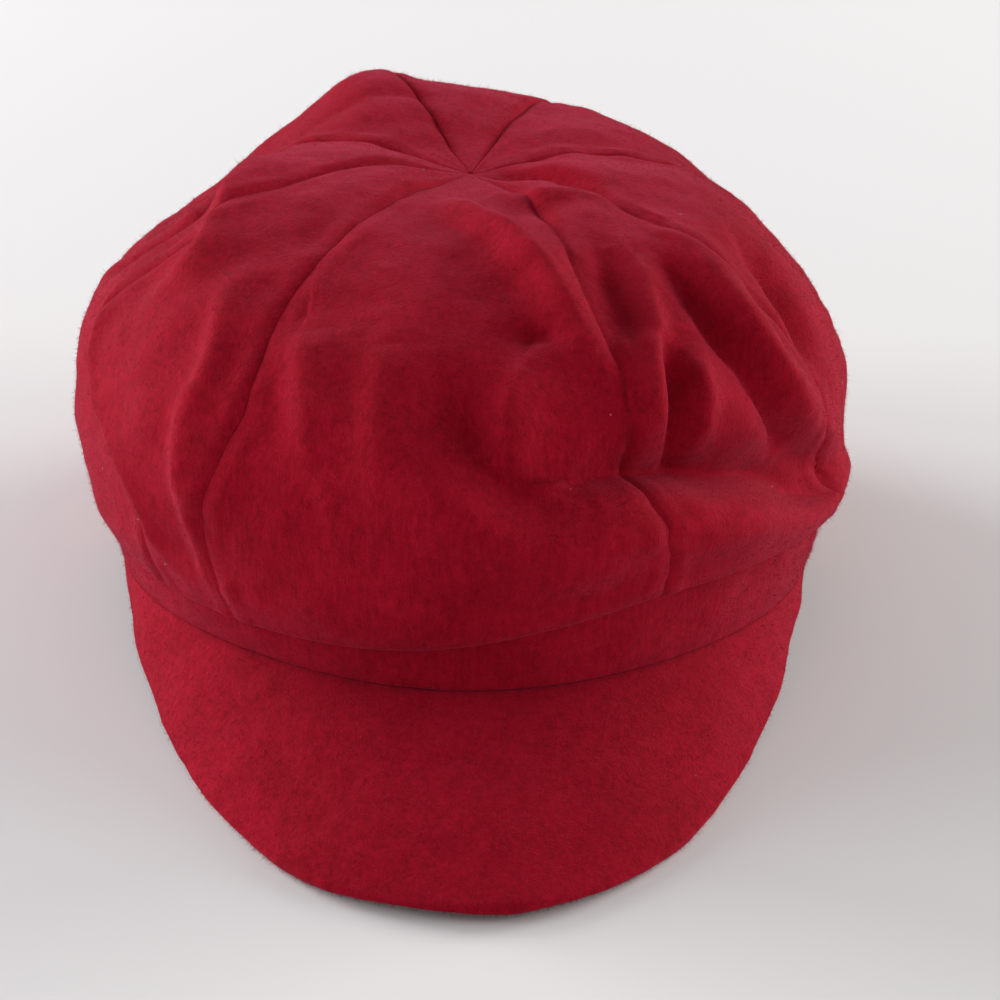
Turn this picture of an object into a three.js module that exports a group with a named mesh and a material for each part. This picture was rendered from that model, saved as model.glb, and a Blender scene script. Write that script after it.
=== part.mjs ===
// A soft wool newsboy cap: eight crown panels, a narrow band and a broad stiff peak.
// Millimetres, +Z up, the peak points to -Y. Left and right are as seen from in front.
// The cap stands by itself, on the lower edge of its peak and on the back of its band.
import * as THREE from "three";

// Driving sizes: the head opening, the band and the cloth
const BAND_HALF_WIDTH = 83;
const BAND_HALF_LENGTH = 98;
const BAND_HEIGHT = 18;
const BAND_FLARE = 3.6;
const BAND_WALL = 3;
const BAND_SEGMENTS = 80;
const GAP = 0.3;
const CLOTH = 2;

// The peak pulls the front of the band forward and down a little
const NOSE_REACH = 3;
const NOSE_DIP = 1.2;
const NOSE_SHARPNESS = 8;
const NOSE_FADES_FROM = 0.1;
const NOSE_FADES_TO = 0.5;

// The peak: a stiff leaf under the same cloth, curved down at its sides
const PEAK_LENGTH = 51.5;
const PEAK_SPREAD = 80;
const PEAK_END = 0.9;
const PEAK_ROUND = 3.1;
const PEAK_TAPER = 1.75;
const PEAK_SLOPE_FRONT = 28;
const PEAK_SLOPE_SIDE = 55;
const PEAK_SLOPE_POWER = 2.3;
const PEAK_FAN = -0.1;
const PEAK_THICK = 3.5;
const PEAK_EDGE_THICK = 2.2;
const PEAK_EDGE_INSET = 1.4;
const PEAK_INSET_LIMIT = 0.4;
const PEAK_COLUMNS = 34;
const PEAK_ROWS = 7;

// How the cap stands: tilted back off the peak, and pressed flat by this much where it touches
const REST_TILT = 6.95;
const REST_PRESS = 0.8;

// The crown: rows of its mesh, its height, and the small opening where the points meet
const CROWN_ROWS = 28;
const POINT_RADIUS = 1.5;
const CROWN_HEIGHT = 87;
const BELLY_LEVEL = 0.33;

// A panel's swell between its seams: how far, how blunt, and the levels where it starts and fades
const PUFF = 2.2;
const PUFF_BLUNTNESS = 1.1;
const PUFF_AT_SEAM = -0.55;
const PUFF_STARTS = 0.1;
const PUFF_FULL = 0.35;
const PUFF_FADES = 0.85;

const WOOL = { color: 0x8c0a1c, roughness: 0.95, metalness: 0 };

// Sections of the crown from its fold over the band to its point. Level runs from 0 to 1 along
// the cloth; the next four are how far the section reaches, the last four are its heights there.
const SECTIONS = [
  { level: 0.12, left: 89, right: 92, front: 106, back: 107, leftZ: 21, rightZ: 22.5, frontZ: 22, backZ: 22 },
  { level: 0.21, left: 90.5, right: 90, front: 108, back: 111, leftZ: 27, rightZ: 29, frontZ: 28, backZ: 29 },
  { level: 0.33, left: 92, right: 89, front: 109, back: 114, leftZ: 38, rightZ: 38, frontZ: 38.5, backZ: 42 },
  { level: 0.47, left: 90, right: 88, front: 103, back: 111, leftZ: 56, rightZ: 52, frontZ: 53, backZ: 60 },
  { level: 0.61, left: 80, right: 80, front: 88, back: 102, leftZ: 70.5, rightZ: 67, frontZ: 68, backZ: 80 },
  { level: 0.75, left: 57, right: 60, front: 64, back: 81, leftZ: 86, rightZ: 83, frontZ: 79, backZ: 96 },
  { level: 0.89, left: 29, right: 29.5, front: 30, back: 42, leftZ: 92, rightZ: 90, frontZ: 85.5, backZ: 97 },
];

// The fold where the crown turns over the band: how far below the band's top edge it hangs
// (minus 1 is sewn on top of the band, 0 at its corner) and how far out it reaches.
const LIP = [
  { azimuth: -180, drop: 5, reach: 4.5 },
  { azimuth: -140, drop: 7, reach: 4 },
  { azimuth: -95, drop: 11, reach: 2.5 },
  { azimuth: -65, drop: 8, reach: 2.5 },
  { azimuth: -38, drop: 9.5, reach: 3 },
  { azimuth: -7, drop: 7.5, reach: 4.5 },
  { azimuth: 13, drop: 2.5, reach: 4.5 },
  { azimuth: 30, drop: -1, reach: 4 },
  { azimuth: 46, drop: -1, reach: 4 },
  { azimuth: 67, drop: 0.8, reach: 4.5 },
  { azimuth: 95, drop: 1, reach: 5 },
  { azimuth: 130, drop: 4, reach: 5 },
];

// The turn of that fold: level, share of the reach, and height above the fold's start
const LIP_TURN = [
  { level: 0, share: 0, rise: 0 },
  { level: 0.03, share: 0.55, rise: -0.5 },
  { level: 0.07, share: 0.95, rise: 1.6 },
];
const LIP_START = 0.4;
const LIP_ON_TOP = 2.4;
const LIP_SETTLES = 0.36;
const LIP_UPRIGHT = 0.1;

// Azimuths of the eight seams from the band up to the point, pulled about by the folds
const SEAM_LEVELS = [0, 0.25, 0.5, 0.75, 1];
const SEAMS = [
  { foot: -152, low: -154, middle: -157, high: -156, top: -158 },
  { foot: -104, low: -108, middle: -112, high: -110, top: -114 },
  { foot: -48, low: -51, middle: -67, high: -60, top: -70 },
  { foot: -33, low: -35, middle: -29, high: -30, top: -26 },
  { foot: 26, low: 26, middle: 21, high: 20, top: 30 },
  { foot: 70, low: 67, middle: 58, high: 47, top: 60 },
  { foot: 106, low: 108, middle: 110, high: 106, top: 112 },
  { foot: 150, low: 155, middle: 156, high: 158, top: 158 },
];

// Crown panels in the order of the seams, each from its seam to the next one, and the width of a
// column of its mesh, which is finer where the folds are close
const PANELS = [
  { name: "crown_panel_back_left", columnWidth: 11 },
  { name: "crown_panel_left", columnWidth: 11 },
  { name: "crown_panel_front_left", columnWidth: 6 },
  { name: "crown_panel_front", columnWidth: 7.5 },
  { name: "crown_panel_front_right", columnWidth: 5 },
  { name: "crown_panel_right", columnWidth: 9 },
  { name: "crown_panel_back_right", columnWidth: 11 },
  { name: "crown_panel_back", columnWidth: 11 },
];

// The main dents and folds of the crown. Width is a fold's half-width and height its rise, which
// is negative for a dent. Each runs through three places, given by their azimuths and levels.
const FOLDS = [
  {
    name: "swell, back left", width: 15, height: 9,
    azimuths: [-158, -150, -142], levels: [0.66, 0.77, 0.86],
  },
  {
    name: "slack, back left", width: 16, height: -6,
    azimuths: [-84, -98, -116], levels: [0.62, 0.69, 0.73],
  },
  {
    name: "slack, right", width: 16, height: -4,
    azimuths: [84, 86, 88], levels: [0.7, 0.6, 0.48],
  },
  {
    name: "long ridge, left", width: 7.5, height: 4,
    azimuths: [-53, -38, -38], levels: [0.72, 0.54, 0.22],
  },
  {
    name: "dent beside it", width: 8, height: -2.5,
    azimuths: [-38, -33, -34], levels: [0.66, 0.5, 0.27],
  },
  {
    name: "shoulder, left", width: 8, height: 4,
    azimuths: [-63, -57, -62], levels: [0.74, 0.67, 0.58],
  },
  {
    name: "dent behind it", width: 7, height: -6,
    azimuths: [-67, -70, -73], levels: [0.76, 0.67, 0.58],
  },
  {
    name: "ridge, left of front", width: 7, height: 2.5,
    azimuths: [-28, -24, -22], levels: [0.62, 0.52, 0.4],
  },
  {
    name: "dent, left of front", width: 8, height: -2.5,
    azimuths: [-20, -17, -11], levels: [0.61, 0.48, 0.34],
  },
  {
    name: "slanting swell, front", width: 10, height: 3.6,
    azimuths: [-13, -4, 16], levels: [0.66, 0.46, 0.23],
  },
  {
    name: "ridge, upper front", width: 7, height: 3.5,
    azimuths: [-4, 12, 17], levels: [0.86, 0.77, 0.58],
  },
  {
    name: "dent, front", width: 7, height: -2.5,
    azimuths: [0, 0, 4], levels: [0.6, 0.49, 0.38],
  },
  {
    name: "short ridge, front", width: 6, height: 2,
    azimuths: [6, 5.5, 6], levels: [0.58, 0.49, 0.4],
  },
  {
    name: "hollow, right of front", width: 9.5, height: -4,
    azimuths: [11, 13, 19], levels: [0.55, 0.47, 0.41],
  },
  {
    name: "dent, seam side", width: 7, height: -3.5,
    azimuths: [29, 25, 24], levels: [0.81, 0.72, 0.59],
  },
  {
    name: "ridge, front right", width: 6.5, height: 4,
    azimuths: [30, 28, 27], levels: [0.76, 0.62, 0.46],
  },
  {
    name: "dent, right of front", width: 7.5, height: -5,
    azimuths: [40, 41, 57], levels: [0.7, 0.52, 0.31],
  },
  {
    name: "long ridge, right", width: 8, height: 4.5,
    azimuths: [62, 50, 65], levels: [0.75, 0.56, 0.34],
  },
  {
    name: "dent, outer right", width: 7, height: -3,
    azimuths: [58, 56, 69], levels: [0.66, 0.57, 0.41],
  },
  {
    name: "cross crease, right", width: 8.5, height: -6.5,
    azimuths: [13, 33, 60], levels: [0.43, 0.395, 0.22],
  },
  {
    name: "roll over the band, right", width: 8, height: 4,
    azimuths: [15, 34, 56], levels: [0.34, 0.315, 0.15],
  },
  {
    name: "crease at the point", width: 7, height: -3,
    azimuths: [26, 46, 48], levels: [0.96, 0.9, 0.81],
  },
  {
    name: "gather, right", width: 8, height: -4,
    azimuths: [88, 90, 96], levels: [0.1, 0.26, 0.44],
  },
  {
    name: "gather, back right", width: 8, height: -4.5,
    azimuths: [131, 128, 124], levels: [0.08, 0.24, 0.42],
  },
  {
    name: "swell, back right", width: 10, height: 3.5,
    azimuths: [146, 142, 140], levels: [0.14, 0.3, 0.5],
  },
  {
    name: "gather, back", width: 8, height: -4,
    azimuths: [172, 175, 170], levels: [0.08, 0.22, 0.38],
  },
  {
    name: "gather, back left", width: 8, height: -4.5,
    azimuths: [-132, -130, -136], levels: [0.08, 0.28, 0.46],
  },
  {
    name: "slack fold, left", width: 8, height: -3.5,
    azimuths: [-84, -88, -98], levels: [0.28, 0.4, 0.54],
  },
];
const FOLD_STEPS = 8;
const FOLD_FADE_START = 0.12;
const FOLD_FADE_SPAN = 0.76;
const FOLD_FREE_FROM = 0.1;
const FOLD_FREE_TO = 0.26;

const STEP = 1e-3;
const radians = THREE.MathUtils.degToRad;
const degrees = THREE.MathUtils.radToDeg;
const mix = THREE.MathUtils.lerp;
const clamp = THREE.MathUtils.clamp;
const smooth = (x, from, to) => THREE.MathUtils.smoothstep(x, from, to);

// Value at x of a smooth curve through (xs, ys)
function curveThrough(xs, ys, x) {
  const last = xs.length - 1;
  const slope = (i) => (ys[i + 1] - ys[i]) / (xs[i + 1] - xs[i]);
  const tangent = (i) => {
    if (i === 0) return slope(0);
    if (i === last) return slope(last - 1);
    const share = (xs[i] - xs[i - 1]) / (xs[i + 1] - xs[i - 1]);
    return mix(slope(i - 1), slope(i), share);
  };
  let i = 0;
  while (i < last - 1 && x >= xs[i + 1]) i += 1;
  const width = xs[i + 1] - xs[i];
  const t = (x - xs[i]) / width;
  const startWeight = (1 + 2 * t) * (1 - t) ** 2;
  const endWeight = t * t * (3 - 2 * t);
  const slopes = t * (1 - t) ** 2 * tangent(i) + t * t * (t - 1) * tangent(i + 1);
  return startWeight * ys[i] + endWeight * ys[i + 1] + width * slopes;
}

// A point on the oval of the head opening, moved out by a distance and up to a height
function onOval(phi, out, z) {
  const nose = Math.max(Math.cos(phi), 0) ** NOSE_SHARPNESS;
  return new THREE.Vector3(
    (BAND_HALF_WIDTH + out) * Math.sin(phi),
    -(BAND_HALF_LENGTH + out) * Math.cos(phi) - NOSE_REACH * nose,
    z - NOSE_DIP * nose,
  );
}

// Drop and reach of the crown's fold at an azimuth
function lipAt(phi) {
  const turn = degrees(phi);
  const azimuth = turn - 360 * Math.floor((turn + 180) / 360);
  const shifted = (turns) => LIP.map((row) => ({ ...row, azimuth: row.azimuth + 360 * turns }));
  const around = [-1, 0, 1].flatMap(shifted);
  const places = around.map((row) => row.azimuth);
  const drop = curveThrough(places, around.map((row) => row.drop), azimuth);
  const reach = curveThrough(places, around.map((row) => row.reach), azimuth);
  return { drop, reach };
}

// The turn of the fold over the band, as points from its start outward
function lipPoints(phi, drop, reach) {
  const start = BAND_HEIGHT + GAP - Math.max(drop, 0);
  const onTop = clamp(-drop, 0, 1);
  const face = BAND_FLARE * clamp(start / BAND_HEIGHT, 0, 1) + GAP + LIP_START;
  return LIP_TURN.map(({ level, share, rise }) => {
    const inset = share === 0 ? LIP_ON_TOP * onTop : 0;
    const lift = rise < 0 ? rise * (1 - onTop) : rise;
    return { level, point: onOval(phi, face - inset + share * reach, start + lift) };
  });
}

// How much of that pull on the band is left at a level of the crown
function noseFade(level) {
  return 1 - smooth(level, NOSE_FADES_FROM, NOSE_FADES_TO);
}

// A point of one section of the crown
function sectionPoint(phi, row, drop) {
  const s = Math.sin(phi);
  const c = Math.cos(phi);
  const nose = Math.max(c, 0) ** NOSE_SHARPNESS * noseFade(row.level);
  const acrossZ = s > 0 ? row.rightZ : row.leftZ;
  const alongZ = c > 0 ? row.frontZ : row.backZ;
  const hang = drop * (1 - smooth(row.level, 0, LIP_SETTLES));
  return new THREE.Vector3(
    (s > 0 ? row.right : row.left) * s,
    -(c > 0 ? row.front : row.back) * c - NOSE_REACH * nose,
    c * c * alongZ + s * s * acrossZ - hang - NOSE_DIP * nose,
  );
}

// The point where the eight panels meet
const APEX = {
  level: 1,
  left: POINT_RADIUS,
  right: POINT_RADIUS,
  front: POINT_RADIUS,
  back: POINT_RADIUS,
  leftZ: CROWN_HEIGHT,
  rightZ: CROWN_HEIGHT,
  frontZ: CROWN_HEIGHT,
  backZ: CROWN_HEIGHT,
};

// The crown without its puff and folds
function crownBase(phi, level) {
  const { drop, reach } = lipAt(phi);
  const rows = lipPoints(phi, drop, reach);
  for (const row of [...SECTIONS, APEX]) {
    rows.push({ level: row.level, point: sectionPoint(phi, row, drop) });
  }
  const levels = rows.map((row) => row.level);
  const along = (axis) => curveThrough(levels, rows.map((row) => row.point[axis]), level);
  return new THREE.Vector3(along("x"), along("y"), along("z"));
}

// Direction square to that surface, and how many millimetres a radian of azimuth is there
function crownFrame(phi, level) {
  const up = Math.min(level + STEP, 1);
  const down = Math.max(level - STEP, 0);
  const rise = crownBase(phi, up).sub(crownBase(phi, down));
  const around = crownBase(phi + STEP, level).sub(crownBase(phi - STEP, level));
  const perRadian = around.length() / (2 * STEP);
  return { outward: around.cross(rise).normalize(), perRadian };
}

// Azimuth of a seam at a level
function seamAzimuth(seam, level) {
  const places = [seam.foot, seam.low, seam.middle, seam.high, seam.top];
  return radians(curveThrough(SEAM_LEVELS, places, level));
}

// A fold's line on the crown, as short straight steps along a parabola through its three places
function foldLine(fold) {
  const through = ([start, middle, end], t) => (
    start * (1 - t) * (1 - 2 * t) + 4 * middle * t * (1 - t) + end * t * (2 * t - 1)
  );
  return Array.from({ length: FOLD_STEPS + 1 }, (_, i) => {
    const t = i / FOLD_STEPS;
    return crownBase(radians(through(fold.azimuths, t)), through(fold.levels, t));
  });
}

const FOLD_LINES = FOLDS.map((fold) => ({ ...fold, points: foldLine(fold) }));

// How far one fold lifts the cloth at a place
function foldLift(place, fold) {
  const step = new THREE.Line3();
  const near = new THREE.Vector3();
  let nearest = Infinity;
  let along = 0;
  for (let i = 0; i < FOLD_STEPS; i += 1) {
    step.set(fold.points[i], fold.points[i + 1]);
    const share = step.closestPointToPointParameter(place, true);
    const distance = step.at(share, near).distanceTo(place);
    if (distance < nearest) {
      nearest = distance;
      along = (i + share) / FOLD_STEPS;
    }
  }
  const fade = Math.sqrt(Math.sin(Math.PI * (FOLD_FADE_START + FOLD_FADE_SPAN * along)));
  return fold.height * fade * Math.exp(-((nearest / fold.width) ** 2));
}

// How far a panel swells between its seams
function panelPuff(share, level) {
  const swell = Math.sin(Math.PI * share) ** PUFF_BLUNTNESS + PUFF_AT_SEAM;
  return PUFF * swell * smooth(level, PUFF_STARTS, PUFF_FULL) * (1 - smooth(level, PUFF_FADES, 1));
}

// Outer and inner face of the crown's cloth. Share runs from a panel's first seam to its next.
function crownWall(phi, level, share) {
  const base = crownBase(phi, level);
  const { outward } = crownFrame(phi, level);
  const folds = FOLD_LINES.reduce((sum, fold) => sum + foldLift(base, fold), 0);
  const lift = panelPuff(share, level) + folds * smooth(level, FOLD_FREE_FROM, FOLD_FREE_TO);
  const outer = base.addScaledVector(outward, lift);
  // at the sewn edge the cloth lies flat, further up it stands square to the surface
  const inward = new THREE.Vector3(0, 0, 1);
  inward.lerp(outward.clone().negate(), smooth(level, 0, LIP_UPRIGHT)).normalize();
  return { outer, inner: outer.clone().addScaledVector(inward, CLOTH) };
}

// Sets a point of the upright cap down as it stands, pressed flat where it touches
function setDown(point) {
  const tilt = radians(REST_TILT);
  const drop = BAND_HALF_LENGTH * Math.sin(tilt) - REST_PRESS;
  const y = point.y * Math.cos(tilt) + point.z * Math.sin(tilt);
  const z = point.z * Math.cos(tilt) - point.y * Math.sin(tilt) + drop;
  return new THREE.Vector3(point.x, y, Math.max(z, 0));
}

// A closed skin from a grid of points: rows[j][i] are closed loops of the same length, stacked
// from first to last. With caps the first and last loop are filled, without them they join up.
function skinOfLoops(rows, capped) {
  const positions = rows.flat().map(setDown).flatMap((point) => point.toArray());
  const around = rows[0].length;
  const half = around / 2;
  const faces = [];
  const steps = capped ? rows.length - 1 : rows.length;
  for (let j = 0; j < steps; j += 1) {
    for (let i = 0; i < around; i += 1) {
      const a = j * around + i;
      const b = j * around + ((i + 1) % around);
      const c = ((j + 1) % rows.length) * around + ((i + 1) % around);
      const d = ((j + 1) % rows.length) * around + i;
      // both faces of the cloth are split along the same diagonal
      const onInnerFace = i >= half - 1 && i < around - 1;
      if (onInnerFace) faces.push(a, b, d, b, c, d);
      else faces.push(a, b, c, a, c, d);
    }
  }
  if (capped) {
    const top = (rows.length - 1) * around;
    // a loop runs along the outer face and back along the inner one, so its ends fill in as a strip
    for (let i = 0; i < half - 1; i += 1) {
      const j = around - 1 - i;
      faces.push(i, j, i + 1, i + 1, j, j - 1);
      faces.push(top + i, top + i + 1, top + j, top + i + 1, top + j - 1, top + j);
    }
  }
  const geometry = new THREE.BufferGeometry();
  geometry.setAttribute("position", new THREE.Float32BufferAttribute(positions, 3));
  geometry.setIndex(faces);
  geometry.computeVertexNormals();
  return geometry;
}

function woolMesh(name, geometry) {
  const mesh = new THREE.Mesh(geometry, new THREE.MeshStandardMaterial(WOOL));
  mesh.name = name;
  return mesh;
}

// One crown panel, from the seam with this index to the next one round
function crownPanel(index) {
  const first = SEAMS[index];
  const next = SEAMS[(index + 1) % SEAMS.length];
  const spanAt = (level) => {
    const from = seamAzimuth(first, level);
    const to = seamAzimuth(next, level);
    return { from, to: to < from ? to + 2 * Math.PI : to };
  };
  const belly = spanAt(BELLY_LEVEL);
  const bellyMiddle = crownFrame((belly.from + belly.to) / 2, BELLY_LEVEL);
  const columns = Math.ceil(((belly.to - belly.from) * bellyMiddle.perRadian) / PANELS[index].columnWidth);
  const loops = [];
  for (let j = 0; j <= CROWN_ROWS; j += 1) {
    const level = j / CROWN_ROWS;
    const { from, to } = spanAt(level);
    const startTrim = GAP / 2 / crownFrame(from, level).perRadian;
    const endTrim = GAP / 2 / crownFrame(to, level).perRadian;
    const walls = Array.from({ length: columns + 1 }, (_, i) => {
      const share = i / columns;
      return crownWall(mix(from + startTrim, to - endTrim, share), level, share);
    });
    loops.push([...walls.map((wall) => wall.outer), ...walls.map((wall) => wall.inner).reverse()]);
  }
  return woolMesh(PANELS[index].name, skinOfLoops(loops, true));
}

// The band: a flared ring of folded cloth round the head opening
function band() {
  const loops = Array.from({ length: BAND_SEGMENTS }, (_, i) => {
    const phi = (2 * Math.PI * i) / BAND_SEGMENTS;
    return [
      onOval(phi, -BAND_WALL, 0),
      onOval(phi, 0, 0),
      onOval(phi, BAND_FLARE, BAND_HEIGHT),
      onOval(phi, BAND_FLARE - BAND_WALL, BAND_HEIGHT),
    ].reverse();
  });
  return woolMesh("band", skinOfLoops(loops, false));
}

// A point of the peak's upper face, reach running from the band to its edge
function peakTop(phi, reach) {
  const k = Math.min(Math.abs(phi) / radians(PEAK_SPREAD), 1);
  const length = PEAK_LENGTH * (1 - k ** PEAK_ROUND) ** PEAK_TAPER;
  const slope = radians(mix(PEAK_SLOPE_FRONT, PEAK_SLOPE_SIDE, k ** PEAK_SLOPE_POWER));
  const heading = PEAK_FAN * phi;
  const forward = new THREE.Vector3(
    Math.cos(slope) * Math.sin(heading),
    -Math.cos(slope) * Math.cos(heading),
    -Math.sin(slope),
  );
  return { point: onOval(phi, 0, -GAP).addScaledVector(forward, length * reach), length };
}

// Direction square to the peak's upper face
function peakUp(phi, reach) {
  const inner = peakTop(phi, reach - STEP).point;
  const outer = peakTop(phi, reach + STEP).point;
  const before = peakTop(phi - STEP, reach).point;
  const after = peakTop(phi + STEP, reach).point;
  return after.sub(before).cross(inner.sub(outer)).normalize();
}

// The peak: its upper face, a blunt edge and its lower face
function peak() {
  const limit = radians(PEAK_SPREAD) * PEAK_END;
  const loops = Array.from({ length: PEAK_COLUMNS + 1 }, (_, i) => {
    const phi = mix(-limit, limit, i / PEAK_COLUMNS);
    const upper = [];
    const lower = [];
    for (let j = 0; j <= PEAK_ROWS; j += 1) {
      const { length } = peakTop(phi, 0);
      const inset = Math.min(PEAK_EDGE_INSET / length, PEAK_INSET_LIMIT);
      const reach = (j / PEAK_ROWS) * (1 - inset);
      const { point } = peakTop(phi, reach);
      upper.push(point);
      lower.push(point.clone().addScaledVector(peakUp(phi, reach), -PEAK_THICK));
    }
    const edge = peakTop(phi, 1).point;
    const up = peakUp(phi, 1);
    const bevel = (PEAK_THICK - PEAK_EDGE_THICK) / 2;
    upper.push(edge.clone().addScaledVector(up, -bevel));
    lower.push(edge.clone().addScaledVector(up, bevel - PEAK_THICK));
    return [...upper, ...lower.reverse()];
  });
  return woolMesh("peak", skinOfLoops(loops, true));
}

// The whole cap, with its origin under the middle of its outline
function cap() {
  const group = new THREE.Group();
  PANELS.forEach((_, index) => group.add(crownPanel(index)));
  group.add(band(), peak());
  const middle = new THREE.Box3().setFromObject(group).getCenter(new THREE.Vector3());
  group.children.forEach((mesh) => mesh.geometry.translate(-middle.x, -middle.y, 0));
  return group;
}

export default cap();
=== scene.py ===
"""A soft crimson wool newsboy cap, standing on its peak and the back of its band.

The shapes are worked out in millimetres in the cap's own upright frame, with the peak towards -Y,
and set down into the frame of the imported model, in metres, when each mesh is made.
"""

import math

import bpy
import numpy as np
from mathutils import Matrix, Vector


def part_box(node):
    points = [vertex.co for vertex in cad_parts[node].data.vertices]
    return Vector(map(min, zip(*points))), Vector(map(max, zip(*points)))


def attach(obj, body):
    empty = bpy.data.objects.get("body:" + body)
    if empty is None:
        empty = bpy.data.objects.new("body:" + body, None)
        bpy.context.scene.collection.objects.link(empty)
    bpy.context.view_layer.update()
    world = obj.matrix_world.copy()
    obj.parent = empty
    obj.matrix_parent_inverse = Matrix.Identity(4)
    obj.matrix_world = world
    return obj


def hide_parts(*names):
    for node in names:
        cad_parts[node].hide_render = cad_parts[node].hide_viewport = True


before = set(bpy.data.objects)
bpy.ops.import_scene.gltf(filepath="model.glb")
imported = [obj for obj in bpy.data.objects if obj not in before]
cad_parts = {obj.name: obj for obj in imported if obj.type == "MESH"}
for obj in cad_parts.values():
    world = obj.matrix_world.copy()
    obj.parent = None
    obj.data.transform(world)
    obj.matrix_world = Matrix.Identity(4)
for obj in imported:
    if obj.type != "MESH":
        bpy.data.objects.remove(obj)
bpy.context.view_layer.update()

MM = 0.001

# The head opening, the band and the cloth, as in the solids
BAND_HALF_WIDTH = 83.0
BAND_HALF_LENGTH = 98.0
BAND_HEIGHT = 18.0
BAND_FLARE = 3.6
BAND_WALL = 3.0
BAND_FOOT_ROUND = 0.45
CLOTH = 2.0
TOUCH = 0.08

# The oval's slight nose at the front, and the levels between which the crown loses it
NOSE_REACH = 3.0
NOSE_DIP = 1.2
NOSE_SHARPNESS = 8
NOSE_FADES = (0.1, 0.5)

# The peak: its reach, half of its spread round the oval, and how it slopes and fans out
PEAK_LENGTH = 51.5
PEAK_SPREAD = math.radians(80)
PEAK_END = 0.965
PEAK_ROUND = 3.1
PEAK_TAPER = 1.75
PEAK_SLOPE_FRONT = 28.0
PEAK_SLOPE_SIDE = 55.0
PEAK_SLOPE_POWER = 2.3
PEAK_FAN = -0.1
PEAK_TUCK = 1.3

# The peak's thickness, the shares of its reach between which it thins, and the limits at its ends,
# where it is short
PEAK_THICK = 3.5
PEAK_EDGE_THICK = 2.4
PEAK_THINS = (0.3, 0.9)
PEAK_END_THICK = 0.5
PEAK_END_GROWTH = 0.9
PEAK_EDGE_MOST = 0.45
PEAK_EDGE_BACK = 0.1

# How the cap stands
REST_TILT = math.radians(6.95)
REST_PRESS = 0.8

# The crown, and the swell of each panel between its seams
CROWN_HEIGHT = 87.0
POINT_RADIUS = 0.15
PUFF = 2.0
PUFF_BLUNTNESS = 1.15
PUFF_AT_SEAM = -0.55
PUFF_SETS_IN = (0.1, 0.35)
PUFF_ENDS = (0.85, 1.0)

# Sections of the crown: level, reach to the left, right, front and back, and heights there
SECTIONS = np.array([
    # level left  right front back leftZ rightZ frontZ backZ
    (0.12, 89.0, 92.0, 106.0, 107.0, 21.0, 22.5, 22.0, 22.0),
    (0.21, 90.5, 90.0, 108.0, 111.0, 27.0, 29.0, 28.0, 29.0),
    (0.33, 92.0, 89.0, 109.0, 114.0, 38.0, 38.0, 38.5, 42.0),
    (0.47, 90.0, 88.0, 103.0, 111.0, 56.0, 52.0, 53.0, 60.0),
    (0.61, 80.0, 80.0, 88.0, 102.0, 70.5, 67.0, 68.0, 80.0),
    (0.75, 57.0, 60.0, 64.0, 81.0, 86.0, 83.0, 79.0, 96.0),
    (0.89, 29.0, 29.5, 30.0, 42.0, 92.0, 90.0, 85.5, 97.0),
    (1.0, *[POINT_RADIUS] * 4, *[CROWN_HEIGHT] * 4),
])

# The fold where the crown turns over the band: azimuth, how far it hangs below the band's top
# edge (minus 1 is sewn on top of the band), and how far out it reaches
LIP = np.array([
    (-180, 5.0, 4.5), (-140, 7.0, 4.0), (-95, 11.0, 2.5), (-65, 8.0, 2.5),
    (-38, 9.5, 3.0), (-7, 7.5, 4.5), (13, 2.5, 4.5), (30, -1.0, 4.0),
    (46, -1.0, 4.0), (67, 0.8, 4.5), (95, 1.0, 5.0), (130, 4.0, 5.0),
])
# The turn of that fold: level, share of the reach, height above its start
LIP_TURN = ((0.0, 0.0, 0.0), (0.03, 0.55, -0.5), (0.07, 0.95, 1.6))
LIP_ON_TOP = 2.4
LIP_SETTLES = 0.36
LIP_UPRIGHT = 0.1

# Azimuths of the eight seams at these levels, from the band up to the point
SEAM_LEVELS = np.array([0.0, 0.25, 0.5, 0.75, 1.0])
SEAMS = np.array([
    (-152, -154, -157, -156, -158),
    (-104, -108, -112, -110, -114),
    (-48, -51, -67, -60, -70),
    (-33, -35, -29, -30, -26),
    (26, 26, 21, 20, 30),
    (70, 67, 58, 47, 60),
    (106, 108, 110, 106, 112),
    (150, 155, 156, 158, 158),
], float)
PANELS = (
    "crown_panel_back_left", "crown_panel_left", "crown_panel_front_left", "crown_panel_front",
    "crown_panel_front_right", "crown_panel_right", "crown_panel_back_right", "crown_panel_back",
)

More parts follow.
